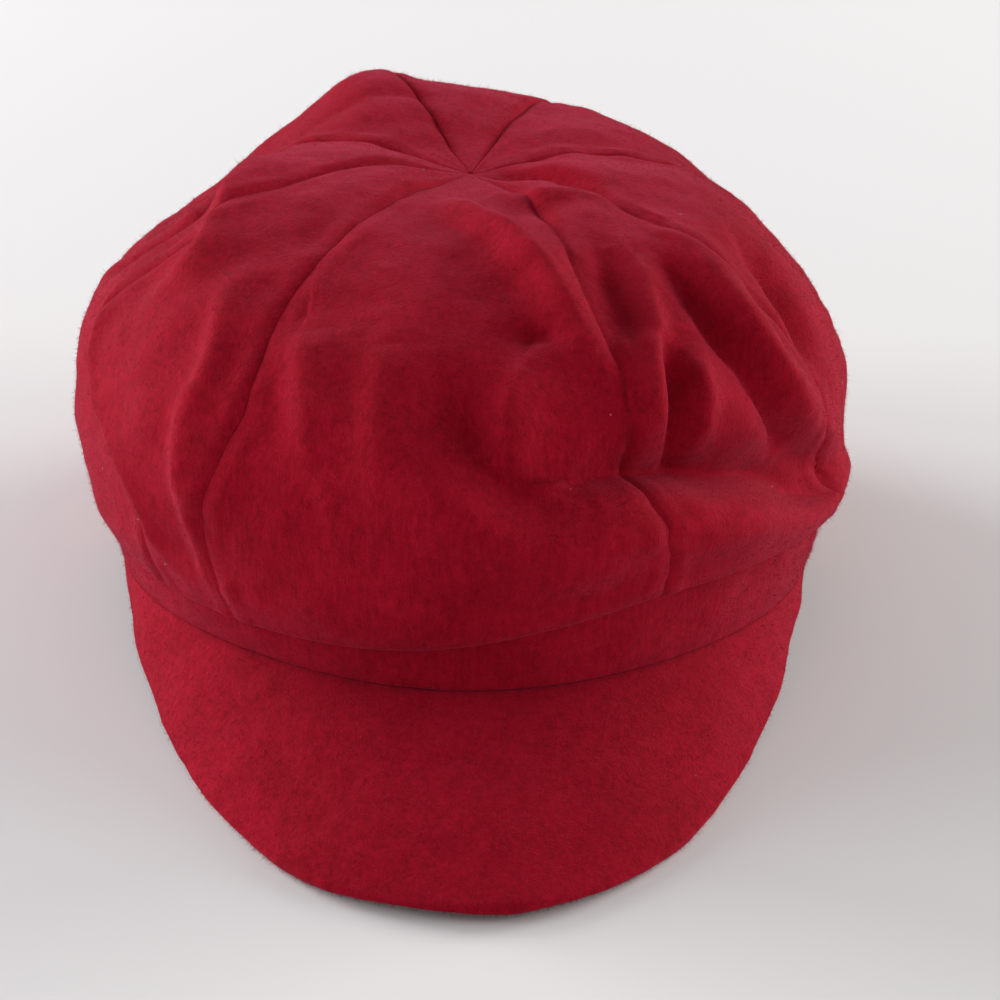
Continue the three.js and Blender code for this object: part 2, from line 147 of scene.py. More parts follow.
# Folds, dents and creases of the crown: half-width and height in millimetres, how sharp the
# crest or crease is from 0, round, to 1, and the azimuths and levels that its line runs through.
# Of two widths, the first is on the left or lower side of the line.
FOLDS = (
    # the main fullness and slack
    ("swell back left", 15, 9, 0, ((-158, 0.66), (-150, 0.77), (-142, 0.86))),
    ("slack back left", 16, -6, 0, ((-84, 0.62), (-98, 0.69), (-116, 0.73))),
    ("slack right", 16, -4, 0, ((84, 0.7), (86, 0.6), (88, 0.48))),
    # the cloth runs evenly over the upper parts of the two front seams
    ("even at the front left seam", 8, 1.4, 0, (
        (-26, 0.88), (-29, 0.74), (-29, 0.56), (-32, 0.42), (-35, 0.26),
    )),
    ("even at the front right seam", 7, 1.0, 0, ((27, 0.88), (20, 0.75), (19.5, 0.62), (21, 0.5))),
    # the left side
    ("upper ridge left", (5, 8), 4.8, 0.4, (
        (-86, 0.785), (-78, 0.775), (-68, 0.75), (-59, 0.72), (-53, 0.67), (-53.5, 0.62),
    )),
    ("dent behind it", (5.5, 4.5), -8, 0.3, (
        (-84, 0.75), (-76, 0.72), (-76, 0.68), (-79, 0.64), (-83, 0.59),
    )),
    ("long ridge left", (3.8, 8), 3.6, 0.5, (
        (-40, 0.64), (-38, 0.6), (-36.5, 0.55), (-36.5, 0.5), (-38, 0.45), (-38, 0.4), (-38, 0.33),
    )),
    ("foot of the long ridge", (3.5, 11), 2.2, 0.4, (
        (-38, 0.42), (-38, 0.32), (-37.5, 0.22), (-36, 0.1),
    )),
    ("dent beside it", 4.4, -0.8, 0.1, ((-35, 0.59), (-33.8, 0.54), (-33.5, 0.49), (-34.5, 0.42))),
    ("line of the side seam", (3, 5), 3, 0.6, (
        (-68, 0.56), (-65, 0.47), (-61, 0.41), (-56, 0.36), (-50, 0.3), (-47, 0.22), (-45, 0.15),
    )),
    ("slack fold left", 7, -3.5, 0.2, ((-84, 0.28), (-88, 0.4), (-98, 0.54))),
    # the front
    ("ridge left of front", (4, 12), 2.8, 0.1, (
        (-24, 0.6), (-22.5, 0.55), (-21, 0.49), (-19.5, 0.4),
    )),
    ("faint ridge front", (4, 9), 2.2, 0.1, ((-12, 0.59), (-10.5, 0.5), (-11.5, 0.42))),
    ("dent front", (6, 4.5), -2.8, 0.2, ((-1.5, 0.53), (1.5, 0.46), (4, 0.41), (9, 0.375))),
    ("slanting swell front", 7.5, 3.8, 0.1, (
        (-11, 0.46), (-6, 0.4), (0, 0.34), (7, 0.285), (16, 0.22),
    )),
    ("ridge upper front", 5, 5.6, 0.3, (
        (-4, 0.87), (7.5, 0.8), (12, 0.74), (14.5, 0.68), (16.5, 0.585),
    )),
    ("pinch upper front", 2.8, -2, 0.3, ((7, 0.628), (9.5, 0.624), (13, 0.618))),
    ("short ridge front", (3, 9), 3.8, 0.3, (
        (7, 0.57), (5.5, 0.53), (4.5, 0.48), (5, 0.43), (8.5, 0.405),
    )),
    ("hollow right of front", 8, -1.5, 0, ((9, 0.52), (10, 0.46), (13, 0.42))),
    # the front right, where the cloth is slack
    ("dent seam side", 5.5, -3.6, 0.1, (
        (28.5, 0.76), (26.5, 0.72), (25, 0.68), (24, 0.635), (23, 0.59),
    )),
    ("ridge front right", (7, 3.2), 4.8, 0.1, (
        (32, 0.72), (29, 0.66), (27.3, 0.61), (26, 0.56), (25.4, 0.51), (26, 0.46), (28.5, 0.41),
    )),
    ("foot of that ridge", 5, 1.6, 0, ((22.5, 0.53), (23, 0.49), (24.5, 0.45))),
    ("crease beside it", (2.2, 2.8), -5.5, 0.5, (
        (28, 0.59), (27.8, 0.55), (27.9, 0.51), (29, 0.47), (31, 0.425), (33, 0.39),
    )),
    ("small ridge right", (3.4, 3.6), 3.2, 0.1, (
        (32.8, 0.56), (32.2, 0.53), (32, 0.5), (32.4, 0.46), (34, 0.41),
    )),
    ("dent right of front", (3.2, 3.6), -4.6, 0.3, (
        (37.6, 0.7), (38, 0.65), (38.6, 0.59), (42.5, 0.53), (47, 0.46), (54, 0.37),
    )),
    ("foot of that dent", (4, 4.6), -5, 0.2, (
        (43.5, 0.5), (49, 0.43), (56, 0.35), (63, 0.27), (69, 0.21),
    )),
    ("long ridge right", (6, 8), 5.6, 0, (
        (49, 0.77), (45.5, 0.71), (43.5, 0.64), (44.4, 0.58), (47.5, 0.51), (53.5, 0.42),
        (65, 0.26),
    )),
    ("dent outer right", (3.6, 6), -4.6, 0.2, ((62, 0.7), (60, 0.64), (59, 0.58), (59.5, 0.5))),
    ("cross crease right", (3.8, 8), -12.5, 0.3, (
        (14, 0.4), (23, 0.4), (30, 0.384), (37, 0.352), (47, 0.305), (57, 0.225), (66, 0.145),
    )),
    ("cross crease fading left", 6.5, -2.6, 0.1, ((2, 0.4), (9, 0.365), (17, 0.35))),
    ("roll over the band right", 7, 3.5, 0.1, ((15, 0.29), (24, 0.27), (34, 0.245), (52, 0.13))),
    ("crease at the point", 3.4, -4, 0.5, ((66, 0.975), (63, 0.94), (60, 0.91), (52, 0.87))),
    ("ridge before it", 4.5, 1.8, 0.1, ((12, 0.915), (31, 0.88), (48, 0.845))),
    # gathers at the band, round the right side and the back
    ("gather right", 7, -4, 0.3, ((88, 0.1), (90, 0.26), (96, 0.44))),
    ("gather back right", 7, -4.5, 0.3, ((131, 0.08), (128, 0.24), (124, 0.42))),
    ("swell back right", 10, 3.5, 0, ((146, 0.14), (142, 0.3), (140, 0.5))),
    ("gather back", 7, -4, 0.3, ((172, 0.08), (175, 0.22), (170, 0.38))),
    ("gather back left", 7, -4.5, 0.3, ((-132, 0.08), (-130, 0.28), (-136, 0.46))),
)

# The steps of a fold's line, its reach and where it starts to end, in half-widths, how blunt its
# tips are, and the levels between which all folds set in above the band
FOLD_STEPS = 20
FOLD_REACH = 3.2
FOLD_FADES = 2.4
FOLD_TIP = 0.04
FOLDS_SET_IN = (0.06, 0.2)

# A pinched crest: how round its top is and how fast its sides fall, in half-widths
PINCH_ROUND = 0.25
PINCH_FALL = 1.5

# Seams: a narrow groove between two soft rolls of turned cloth, less of both where a panel is
# narrow, and how deep each seam's groove is in the order of SEAMS
GROOVE_DEPTH = 0.7
GROOVE_WIDTH = 0.8
ROLL_HEIGHT = 0.3
ROLL_PLACE = 3.2
ROLL_WIDTH = 2.0
NARROW_PANEL = 18.0
NARROWEST = 0.12
SEAM_SETS_IN = 0.05
SEAM_DEPTHS = np.array([0.7, 0.65, 0.35, 0.3, 0.5, 0.35, 0.65, 0.7])

# The small waver of a seam's line: degrees, its length as a share of the level, where it sets in
WAVER = 0.16
WAVER_LENGTH = 0.09
WAVER_SETS_IN = 0.1

# Small puckers beside the seams, calmer right at the stitches
PUCKER_HEIGHT = 0.18
PUCKER_REACH = 7.0
PUCKER_LENGTH = 11.0
PUCKER_WAVES = 16
STITCHED_CALM = 0.6
STITCHED_WIDTH = 1.5

# The soft unevenness of the cloth: heights and lengths of its waves, and where it sets in or ends
CROWN_LUMPS = ((0.55, 34), (0.22, 13), (0.07, 5))
CROWN_LUMPS_SET_IN = (0.03, 0.16)
CROWN_LUMPS_END = (0.93, 1.0)
BAND_LUMPS = ((0.28, 22), (0.1, 8))
BAND_LUMPS_FROM = 5.0
PEAK_LUMPS = ((0.3, 30), (0.08, 7))
PEAK_LUMPS_FROM = 9.0
WAVE_COUNT = 28
WAVE_SPREAD = (0.75, 1.5)

# The band's soft swell, and the seam that closes it at the back
BAND_SWELL = 0.5
JOIN_DEPTH = 0.8
JOIN_WIDTH = 1.0

# Resolution of the cloth
CROWN_ROWS = 180
COLUMN_STEP = 1.05
CROWD_TO_SEAM = 0.72
BELLY_LEVEL = 0.33
BELLY_STEPS = 40
INNER_STEP = 3
BAND_COLUMNS = 420
BAND_STEPS = 22
BAND_TURN_STEPS = 9
BAND_FOOT_STEPS = 4
PEAK_COLUMNS = 200
PEAK_CROWDING = 0.04
PEAK_ROWS = 56
PEAK_ROW_SPREAD = 0.8
PEAK_TURN_STEPS = 11

# The nap: short fibres that stand out of the felted cloth, a few of them long
NAP_PIECES = {"nap_crown_a": 46000, "nap_crown_b": 46000, "nap_band_and_peak": 46000}
NAP_LENGTH = 1.0
NAP_SPREAD = (0.4, 1.2)
NAP_LONG = 1.8
NAP_LONG_SPREAD = (0.7, 1.2)
NAP_LONG_SHARE = 0.06
NAP_THICK = 0.042

# Lint: a few short pale fibres
LINT_COUNT = 22
LINT_LENGTHS = (0.5, 1.1)
LINT_THICK = 0.14

# How a fibre lies: how much it follows the surface's normal, leans any way and hangs down, how
# little it may rise from the cloth, and how deep it is rooted
FIBRE_STANDS = (0.25, 1.0)
FIBRE_LEAN = 0.8
FIBRE_DROOP = 0.25
FIBRE_LEAST_RISE = 0.15
FIBRE_ROOT = 0.1

# A fibre's faces, from the three corners of its foot and its tip
FIBRE_FACES = np.array([(0, 1, 3), (1, 2, 3), (2, 0, 3), (2, 1, 0)])

# Seeds of the random draws
SEED = 20
BAND_SEED = SEED + 5
PEAK_SEED = SEED + 7
WAVER_SEED = SEED + 40
PUCKER_SEED = SEED + 60

# The wool's colour where its mottling is dark, middling and light, and the places of these on the
# scale of its noise
WOOL_DARK = (0.19, 0.001, 0.007, 1)
WOOL_BASE = (0.3, 0.002, 0.013, 1)
WOOL_LIGHT = (0.42, 0.005, 0.024, 1)
WOOL_STOPS = (0.37, 0.5, 0.66)
WOOL_ROUGHNESS = 0.92
WOOL_SPECULAR = 0.08
SHEEN_WEIGHT = 0.2
SHEEN_ROUGHNESS = 0.22
SHEEN_TINT = (1.0, 0.24, 0.46, 1)

# Noises of the wool: scale, detail and roughness. The grain is drawn out upwards.
PATCHES = (70, 3, 0.6)
MOTTLE = (420, 4, 0.7)
GRAIN = (900, 3, 0.7)
FUZZ = (2600, 3, 0.8)
GRAIN_STRETCH = (1.0, 1.0, 0.22)

# Shares of the second of two noises, in the colour and in the relief
MOTTLE_IN_COLOUR = 0.6
FUZZ_IN_COLOUR = 0.5
FINE_IN_COLOUR = 0.62
MOTTLE_IN_RELIEF = 0.4
FUZZ_IN_RELIEF = 0.45
BUMP_STRENGTH = 0.9
BUMP_DEPTH = 0.7

# The fibres' colours, with darker ones among them
FIBRE_COLOUR = (0.42, 0.014, 0.05)
LINT_COLOUR = (0.85, 0.55, 0.6)
FIBRE_DARKER = 0.55
FIBRE_STOPS = (0.35, 0.65)
FIBRE_NOISE = 600
FIBRE_ROUGHNESS = 0.8
FIBRE_SPECULAR = 0.08

# The photo's view of the upright cap: angles in degrees, distance and target in millimetres, and
# the focal length in pixels of the picture's width
VIEW_ELEVATION = 18.0
VIEW_AZIMUTH = -1.23
VIEW_ROLL = 1.12
VIEW_DISTANCE = 520.0
VIEW_TARGET = (8.42, 0.0, 6.68)
FOCAL_PIXELS = 2110.0
PICTURE_PIXELS = 1000.0
SENSOR = 36.0
CLIP_NEAR = 0.01
CLIP_FAR = 50

# Soft lights that face the cap: place in metres, width and height, watts and colour
COOL = (0.98, 0.97, 1.0)
NEUTRAL = (1.0, 0.98, 0.96)
WARM = (1.0, 0.97, 0.95)
LIGHTS = {
    "rear_left": ((-2.1, 1.3, 0.8), (1.2, 1.2), 73.0, COOL),
    "side_left": ((-2.4, -0.1, 0.8), (1.2, 1.2), 36.0, COOL),
    "rear_right": ((2.1, 1.3, 0.8), (1.2, 1.2), 54.0, NEUTRAL),
    "side_right": ((2.4, -0.1, 0.8), (1.2, 1.2), 28.0, NEUTRAL),
    "front": ((0.2, -2.5, 0.4), (1.4, 0.8), 8.0, WARM),
}
CAP_MIDDLE = (0, 0, 0.05)

# The floor and the light of the room
FLOOR_HALF = 6.0
FLOOR_COLOUR = (0.7, 0.695, 0.685, 1)
FLOOR_ROUGHNESS = 0.75
ROOM_COLOUR = (0.96, 0.96, 1.0, 1)
ROOM_STRENGTH = 0.31


def ease(x, low, high):
    """A smooth step from 0 at low to 1 at high."""
    t = np.clip((x - low) / (high - low), 0.0, 1.0)
    return t * t * (3 - 2 * t)


def unit(vectors):
    """Vectors brought to a length of 1."""
    length = np.linalg.norm(vectors, axis=-1, keepdims=True)
    return vectors / np.maximum(length, 1e-9)


def curve_through(xs, ys, x):
    """Values at x of a smooth curve through (xs, ys). Where ys has an axis after the first, the
    points of x run along it."""
    xs, ys, x = np.asarray(xs, float), np.asarray(ys, float), np.asarray(x, float)
    step = np.diff(xs)
    shape = (-1,) + (1,) * (ys.ndim - 1)
    slope = np.diff(ys, axis=0) / step.reshape(shape)
    tangent = np.empty_like(ys)
    tangent[0], tangent[-1] = slope[0], slope[-1]
    share = (step[:-1] / (step[:-1] + step[1:])).reshape(shape)
    tangent[1:-1] = slope[:-1] * (1 - share) + slope[1:] * share
    i = np.clip(np.searchsorted(xs, x, side="right") - 1, 0, len(xs) - 2)
    width = step[i]
    t = (x - xs[i]) / width
    pick = (i, np.arange(len(x))) if ys.ndim > 1 else (i,)
    after = (i + 1,) + pick[1:]
    if ys.ndim > 2:
        t, width = t[:, None], width[:, None]
    value = (1 + 2 * t) * (1 - t) ** 2 * ys[pick] + t * t * (3 - 2 * t) * ys[after]
    return value + width * (t * (1 - t) ** 2 * tangent[pick] + t * t * (t - 1) * tangent[after])


def waves(points, length, seed, count=WAVE_COUNT):
    """A smooth random height, about -1 to 1, that varies over the given length."""
    rng = np.random.default_rng(seed)
    directions = unit(rng.normal(size=(count, points.shape[-1])))
    sizes = 2 * np.pi / (length * rng.uniform(*WAVE_SPREAD, count))
    phases = rng.uniform(0, 2 * np.pi, count)
    flat = points.reshape(-1, points.shape[-1])
    total = np.zeros(len(flat))
    for direction, size, phase in zip(directions, sizes, phases):
        total += np.sin(flat @ direction * size + phase)
    return (total / math.sqrt(count)).reshape(points.shape[:-1])


def lumps(points, sizes, seed):
    """Waves of several heights and lengths, added up."""
    return sum(height * waves(points, length, seed + k) for k, (height, length) in enumerate(sizes))


def on_oval(phi, out, z):
    """A point of the head opening's oval, moved out and up."""
    nose = np.clip(np.cos(phi), 0, 1) ** NOSE_SHARPNESS
    x = (BAND_HALF_WIDTH + out) * np.sin(phi)
    y = -(BAND_HALF_LENGTH + out) * np.cos(phi) - NOSE_REACH * nose
    return np.stack([x, y, z - NOSE_DIP * nose], -1)


def lip_at(phi):
    """Drop and reach of the crown's fold over the band."""
    azimuth = (np.degrees(phi) + 180) % 360 - 180
    places = np.concatenate([LIP[:, 0] + turn for turn in (-360, 0, 360)])
    drop, reach = (curve_through(places, np.tile(LIP[:, k], 3), azimuth) for k in (1, 2))
    return drop, reach


def crown_rows(phi):
    """The levels, and the crown's points there at each azimuth."""
    drop, reach = lip_at(phi)
    start = BAND_HEIGHT + TOUCH - np.maximum(drop, 0)
    on_top = np.clip(-drop, 0, 1)
    face = BAND_FLARE * np.clip(start / BAND_HEIGHT, 0, 1) + TOUCH
    levels, points = [], []
    for level, share, rise in LIP_TURN:
        inset = LIP_ON_TOP * on_top if share == 0 else 0.0
        lift = rise * (1 - on_top) if rise < 0 else rise
        levels.append(level)
        points.append(on_oval(phi, face - inset + share * reach, start + lift))
    s, c = np.sin(phi), np.cos(phi)
    for level, left, right, front, back, left_z, right_z, front_z, back_z in SECTIONS:
        nose = np.clip(c, 0, 1) ** NOSE_SHARPNESS * (1 - ease(level, *NOSE_FADES))
        x = np.where(s > 0, right, left) * s
        y = -np.where(c > 0, front, back) * c - NOSE_REACH * nose
        z = c * c * np.where(c > 0, front_z, back_z) + s * s * np.where(s > 0, right_z, left_z)
        z = z - drop * (1 - ease(level, 0, LIP_SETTLES)) - NOSE_DIP * nose
        levels.append(level)
        points.append(np.stack([x, y, z], -1))
    return np.array(levels), np.array(points)


def crown_base(phi, level):
    """The crown without its puff and folds, for arrays of azimuth and level of one shape."""
    levels, points = crown_rows(phi.ravel())
    return curve_through(levels, points, level.ravel()).reshape(*phi.shape, 3)


def grid_normals(points, closed):
    """Normals of a grid of points [row, column]: columns run round, rows run up."""
    if closed:
        across = np.roll(points, -1, axis=1) - np.roll(points, 1, axis=1)
    else:
        across = np.gradient(points, axis=1)
    return unit(np.cross(across, np.gradient(points, axis=0)))


def fold_line(places):
    """A fold's line on the crown as short steps along a smooth curve through its places."""
    places = np.array(places, float)
    along = np.linspace(0, 1, FOLD_STEPS + 1)
    marks = np.linspace(0, 1, len(places))
    azimuth, level = (curve_through(marks, places[:, k], along) for k in (0, 1))
    return crown_base(np.radians(azimuth), level)


def fold_profile(distance, width, sharp):
    """Height across a fold: a round swell, or the blend of it with a pinched crest."""
    swell = np.exp(-((distance / width) ** 2))
    top = PINCH_ROUND * width
    pinch = np.exp(-(np.hypot(distance, top) - top) * PINCH_FALL / width)
    return swell * (1 - sharp) + pinch * sharp


def place_by_line(spot, facing, line):
    """For each point its distance to the line, how far along the line it is, and on which side:
    above 0 is left of the line or below it."""
    best = np.full(len(spot), np.inf)
    along = np.zeros(len(spot))
    side = np.zeros(len(spot))
    for i in range(FOLD_STEPS):
        step = line[i + 1] - line[i]
        share = np.clip((spot - line[i]) @ step / (step @ step), 0, 1)
        offset = spot - line[i] - share[:, None] * step
        distance = np.linalg.norm(offset, axis=1)
        nearer = distance < best
        best = np.where(nearer, distance, best)
        along = np.where(nearer, (i + share) / FOLD_STEPS, along)
        side = np.where(nearer, (np.cross(step, facing) * offset).sum(-1), side)
    return best, along, side


def fold_lift(points, facing, width, height, sharp, places):
    """A fold's height at each point. It sinks away at both ends of its line."""
    line = fold_line(places)
    here, beyond = np.broadcast_to(width, 2)
    reach = FOLD_REACH * max(here, beyond)
    near = np.all((points > line.min(0) - reach) & (points < line.max(0) + reach), axis=-1)
    distance, along, side = place_by_line(points[near], facing[near], line)
    wide = np.where(side > 0, here, beyond)
    fade = np.sqrt(np.sin(np.pi * (FOLD_TIP + (1 - 2 * FOLD_TIP) * along)))
    end = 1 - ease(distance / wide, FOLD_FADES, FOLD_REACH)
    lift = np.zeros(points.shape[:-1])
    lift[near] = height * fade * fold_profile(distance, wide, sharp) * end
    return lift


def seam_azimuths(levels):
    """Azimuth of each seam at each level, with the small waver of a real seam."""
    found = np.array([curve_through(SEAM_LEVELS, seam, levels) for seam in SEAMS])
    for k, row in enumerate(found):
        waver = waves(levels[:, None], WAVER_LENGTH, WAVER_SEED + k)
        row += WAVER * waver * ease(levels, 0, WAVER_SETS_IN)
    return np.radians(found)


def panel_shares(seam, after):
    """The columns of a panel as shares of its width, crowded towards its two seams."""
    belly = int(BELLY_LEVEL * CROWN_ROWS)
    middle = np.linspace(seam[belly], after[belly], BELLY_STEPS)
    edge = crown_base(middle, np.full(BELLY_STEPS, BELLY_LEVEL))
    arc = np.linalg.norm(np.diff(edge, axis=0), axis=1).sum()
    columns = int(arc / COLUMN_STEP / INNER_STEP) * INNER_STEP
    even = np.arange(columns) / columns
    return even - CROWD_TO_SEAM * np.sin(2 * np.pi * even) / (2 * np.pi)


def lowest_near(lift):
    """The smallest lift within a step of the inner wall, so that the wall stays behind the cloth."""
    low = lift.copy()
    for rows in range(-INNER_STEP, INNER_STEP + 1):
        moved = lift[np.clip(np.arange(len(lift)) + rows, 0, len(lift) - 1)]
        for columns in range(-INNER_STEP, INNER_STEP + 1):
            low = np.minimum(low, np.roll(moved, columns, axis=1))
    return low


def groove_and_rolls(near, narrow, depth):
    """Height beside a seam, at the distance near from it."""
    groove = -depth * np.exp(-((near / (GROOVE_WIDTH * narrow)) ** 2))
    beside = (near - ROLL_PLACE * narrow) / (ROLL_WIDTH * narrow)
    return (groove + ROLL_HEIGHT * np.exp(-(beside ** 2))) * narrow


def puckers(panel, near, narrow, seam):
    """Short waves in the cloth beside a seam, where the stitches draw it in."""
    height = sum(
        np.where(seam == k, waves(panel, PUCKER_LENGTH, PUCKER_SEED + k, PUCKER_WAVES), 0)
        for k in np.unique(seam)
    )
    calm = 1 - STITCHED_CALM * np.exp(-((near / STITCHED_WIDTH) ** 2))
    away = np.exp(-((near / PUCKER_REACH) ** 2)) * calm
    return PUCKER_HEIGHT * height * away * narrow


class Crown:
    """The whole crown as one closed grid, so that neighbouring panels meet along their seams."""

    def __init__(self):
        levels = np.linspace(0, 1, CROWN_ROWS + 1)
        seams = seam_azimuths(levels)
        following = np.vstack([seams[1:], seams[:1] + 2 * np.pi])
        phi, shares, self.starts = [], [], [0]
        for seam, after in zip(seams, following):
            share = panel_shares(seam, after)
            phi.append(seam[:, None] * (1 - share) + after[:, None] * share)
            shares.append(np.broadcast_to(share, phi[-1].shape))
            self.starts.append(self.starts[-1] + len(share))
        self.phi = np.hstack(phi)
        self.share = np.hstack(shares)
        self.level = np.broadcast_to(levels[:, None], self.phi.shape)
        self.shape()

    def shape(self):
        """The outer face with its normals, and the coarser inner face."""
        base = crown_base(self.phi, self.level)
        across = grid_normals(base, True)
        lift = self.puff() + self.folds(base, across) + self.unevenness(base)
        outer = base + across * lift[..., None]
        self.outer = outer + grid_normals(outer, True) * self.seam_relief(outer)[..., None]
        self.normals = grid_normals(self.outer, True)
        upright = ease(self.level, 0, LIP_UPRIGHT)[..., None]
        inward = unit(np.array([0.0, 0.0, 1.0]) * (1 - upright) - across * upright)
        self.inner = base + across * lowest_near(lift)[..., None] + CLOTH * inward

    def puff(self):
        """The swell of each panel between its seams."""
        swell = np.sin(np.pi * self.share) ** PUFF_BLUNTNESS + PUFF_AT_SEAM
        return PUFF * swell * ease(self.level, *PUFF_SETS_IN) * (1 - ease(self.level, *PUFF_ENDS))

    def folds(self, base, across):
        """The height of all folds, dents and creases together."""
        total = sum(fold_lift(base, across, *fold[1:]) for fold in FOLDS)
        return total * ease(self.level, *FOLDS_SET_IN)

    def unevenness(self, base):
        """The slight unevenness of soft cloth, large and small."""
        free = ease(self.level, *CROWN_LUMPS_SET_IN) * (1 - ease(self.level, *CROWN_LUMPS_END))
        return free * lumps(base, CROWN_LUMPS, SEED)

    def columns_of(self, k):
        """The columns of one panel, both its seams included."""
        return np.arange(self.starts[k], self.starts[k + 1] + 1) % self.phi.shape[1]

    def seam_relief(self, outer):
        """Groove, turned rolls and puckers along each seam."""
        relief = np.zeros(self.level.shape)
        for k in range(len(SEAMS)):
            panel = outer[:, self.columns_of(k)]
            steps = np.linalg.norm(np.diff(panel, axis=1), axis=2)
            arc = np.hstack([np.zeros((len(panel), 1)), np.cumsum(steps, axis=1)])
            total = arc[:, -1:]
            near = np.minimum(arc, total - arc)[:, :-1]
            seam = np.where((arc < total / 2)[:, :-1], k, (k + 1) % len(SEAMS))
            narrow = np.clip(total / NARROW_PANEL, NARROWEST, 1)
            height = groove_and_rolls(near, narrow, GROOVE_DEPTH * SEAM_DEPTHS[seam])
            height += puckers(panel[:, :-1], near, narrow, seam)
            relief[:, self.starts[k]:self.starts[k + 1]] = height
        return relief * ease(self.level, 0.0, SEAM_SETS_IN)

    def panel(self, k):
        """Outer and inner grid of one panel. The inner one is coarser."""
        columns = self.columns_of(k)
        return self.outer[:, columns], self.inner[::INNER_STEP, columns[::INNER_STEP]]


def band_section():
    """The band's rounded section, from its outer foot up, over, down inside and under: how far
    out of its middle each point lies and how high."""
    half = BAND_WALL / 2
    foot = BAND_FOOT_ROUND
    up = np.linspace(foot, BAND_HEIGHT - half, BAND_STEPS)
    turn = np.linspace(0, np.pi, BAND_TURN_STEPS)[1:-1]
    corner = np.linspace(0, np.pi / 2, BAND_FOOT_STEPS)[1:]
    out = np.concatenate([
        np.full(BAND_STEPS, half), half * np.cos(turn), np.full(BAND_STEPS, -half),
        -half + foot - foot * np.cos(corner), half - foot + foot * np.sin(corner),
    ])
    high = np.concatenate([
        up, BAND_HEIGHT - half + half * np.sin(turn), up[::-1],
        foot - foot * np.sin(corner), foot - foot * np.cos(corner),
    ])
    return out, high


def band_grid():
    """The band as loops, one for each point of its section."""
    phi = np.linspace(-np.pi, np.pi, BAND_COLUMNS, endpoint=False)
    out, high = band_section()
    lean = BAND_FLARE * high / BAND_HEIGHT - BAND_WALL / 2
    loops = on_oval(phi[None], (out + lean)[:, None], high[:, None])
    soft = lumps(loops, BAND_LUMPS, BAND_SEED)
    soft = soft * ease(high, BAND_FOOT_ROUND, BAND_LUMPS_FROM)[:, None]
    swell = BAND_SWELL * np.clip(np.sin(np.pi * high / BAND_HEIGHT), 0, 1)[:, None]
    join = np.abs((phi + 2 * np.pi) % (2 * np.pi) - np.pi) * BAND_HALF_LENGTH
    seam = -JOIN_DEPTH * np.exp(-((join / JOIN_WIDTH) ** 2))[None]
    return loops + grid_normals(loops, True) * (soft + swell + seam)[..., None]


def peak_top(phi, reach):
    """A point of the peak's upper face, reach running from the band to its edge, and how long
    the peak is there."""
    k = np.clip(np.abs(phi) / PEAK_SPREAD, 0, 1)
    length = PEAK_LENGTH * (1 - k ** PEAK_ROUND) ** PEAK_TAPER
    steeper = (PEAK_SLOPE_SIDE - PEAK_SLOPE_FRONT) * k ** PEAK_SLOPE_POWER
    slope = np.radians(PEAK_SLOPE_FRONT + steeper)
    heading = PEAK_FAN * phi
    level = np.cos(slope)
    forward = np.stack([level * np.sin(heading), -level * np.cos(heading), -np.sin(slope)], -1)
    return on_oval(phi, 0, -TOUCH) + (length * reach)[..., None] * forward, length


def peak_up(phi, reach):
    """The normal of the peak's upper face."""
    step = 1e-3
    around = peak_top(phi + step, reach)[0] - peak_top(phi - step, reach)[0]
    outward = peak_top(phi, reach + step)[0] - peak_top(phi, reach - step)[0]
    return unit(np.cross(outward, around))


def peak_thickness(reach, length):
    """The peak's thickness, as a column."""
    thick = PEAK_THICK + (PEAK_EDGE_THICK - PEAK_THICK) * ease(reach, *PEAK_THINS)
    return np.minimum(thick, PEAK_END_THICK + PEAK_END_GROWTH * length)[:, None]


def peak_loops():
    """The peak's even shape as loops: out along its upper face, round its edge and back
    underneath. The first and last lie tucked behind the band's face."""
    phi = np.linspace(-1, 1, PEAK_COLUMNS + 1)
    phi = (phi + PEAK_CROWDING * np.sin(np.pi * phi)) * PEAK_SPREAD * PEAK_END
    length = peak_top(phi, np.zeros_like(phi))[1]
    edge = np.minimum(PEAK_EDGE_THICK / 2 / length, PEAK_EDGE_MOST)
    upper, lower = [], []
    for share in np.linspace(0, 1, PEAK_ROWS + 1):
        reach = share ** PEAK_ROW_SPREAD * (1 - edge)
        top = peak_top(phi, reach)[0]
        upper.append(top)
        lower.append(top - peak_up(phi, reach) * peak_thickness(reach, length))
    up = peak_up(phi, 1 - edge)
    outward = unit(upper[-1] - peak_top(phi, 1 - PEAK_EDGE_BACK - edge)[0])
    radius = peak_thickness(np.ones_like(phi), length) / 2
    centre = upper[-1] - up * radius
    angles = np.linspace(0, np.pi, PEAK_TURN_STEPS)[1:-1]
    turn = [centre + radius * (up * np.cos(a) + outward * np.sin(a)) for a in angles]
    tuck = on_oval(phi, -PEAK_TUCK, -TOUCH)
    below = tuck - up * peak_thickness(np.zeros_like(phi), length)
    return np.array([tuck] + upper + turn + lower[::-1] + [below])


def peak_grid():
    """The peak with the soft unevenness of its cloth, which leaves the joint with the band even."""
    grid = peak_loops()
    away = np.linalg.norm(grid - grid[0], axis=-1)
    soft = lumps(grid, PEAK_LUMPS, PEAK_SEED) * ease(away, PEAK_THICK, PEAK_LUMPS_FROM)
    return grid - grid_normals(grid, False) * soft[..., None]


def frame_shift():
    """Where the upright cap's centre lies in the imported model, from its band."""
    low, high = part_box("band")
    reach = (BAND_HALF_LENGTH + BAND_FLARE) * math.cos(REST_TILT) + BAND_HEIGHT * math.sin(REST_TILT)
    return np.array([(low.x + high.x) / 2, high.y - reach * MM, 0.0])


SHIFT = frame_shift()


